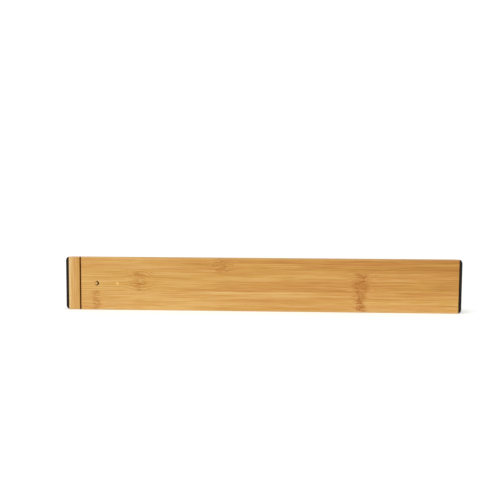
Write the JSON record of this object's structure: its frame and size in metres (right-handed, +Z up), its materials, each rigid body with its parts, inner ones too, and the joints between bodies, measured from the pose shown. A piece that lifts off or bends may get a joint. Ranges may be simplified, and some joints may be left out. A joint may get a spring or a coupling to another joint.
{
  "type": "extending magnetic knife rack",
  "caption": "Flat bamboo magnetic knife rack whose left end block slides out of the bar on a hidden board, with soft black pads on both ends and keyhole hangers on the back.",
  "frame": {"origin": "centre of the shut rack's bounding box at its bottom, where its long lower edge stands", "axes": "+X along the bar away from the sliding end, -Y out of the face that holds the knives, +Z up"},
  "size_m": [0.445, 0.02, 0.06],
  "materials": {
    "bamboo_face": "satin oiled bamboo, grain along the bar",
    "bamboo_cross": "satin oiled bamboo, grain across the bar",
    "bamboo_core": "sanded bamboo, darker, grain along the bar",
    "bamboo_pin": "sanded bamboo dowel, end grain outwards",
    "pad_rubber": "matt black foam rubber",
    "keeper_steel": "mild steel strip, mill finish",
    "zinc_steel": "pressed steel, zinc plated",
    "screw_steel": "zinc plated screws",
    "spring_steel": "blued spring steel strip",
    "magnet_nickel": "nickel plated block magnets"
  },
  "bodies": {
    "bar": {"front_panel": "bamboo_face", "back_panel": "bamboo_face", "top_rail": "bamboo_core", "bottom_rail": "bamboo_core", "channel_filler": "bamboo_core", "right_pad": "pad_rubber", "keeper_strip": "keeper_steel", "keeper_screws": "screw_steel", "stop_pin": "bamboo_pin", "guide_pin": "bamboo_pin", "hanger_plate_left": "zinc_steel", "hanger_plate_right": "zinc_steel", "hanger_screws": "screw_steel", "magnet_1": "magnet_nickel", "magnet_2": "magnet_nickel", "magnet_3": "magnet_nickel", "magnet_4": "magnet_nickel", "magnet_5": "magnet_nickel", "magnet_6": "magnet_nickel", "magnet_7": "magnet_nickel", "magnet_8": "magnet_nickel", "magnet_9": "magnet_nickel", "magnet_10": "magnet_nickel", "magnet_11": "magnet_nickel", "magnet_12": "magnet_nickel"},
    "slide": {"slide_board": "bamboo_core", "end_block": "bamboo_cross", "left_pad": "pad_rubber", "block_screws": "screw_steel", "drag_spring": "spring_steel", "drag_spring_screw": "screw_steel"}
  },
  "joints": [
    {"name": "end_slide", "type": "slide", "parent": "bar", "child": "slide", "axis": [-1, 0, 0], "range_m": [0, 0.114]}
  ]
}
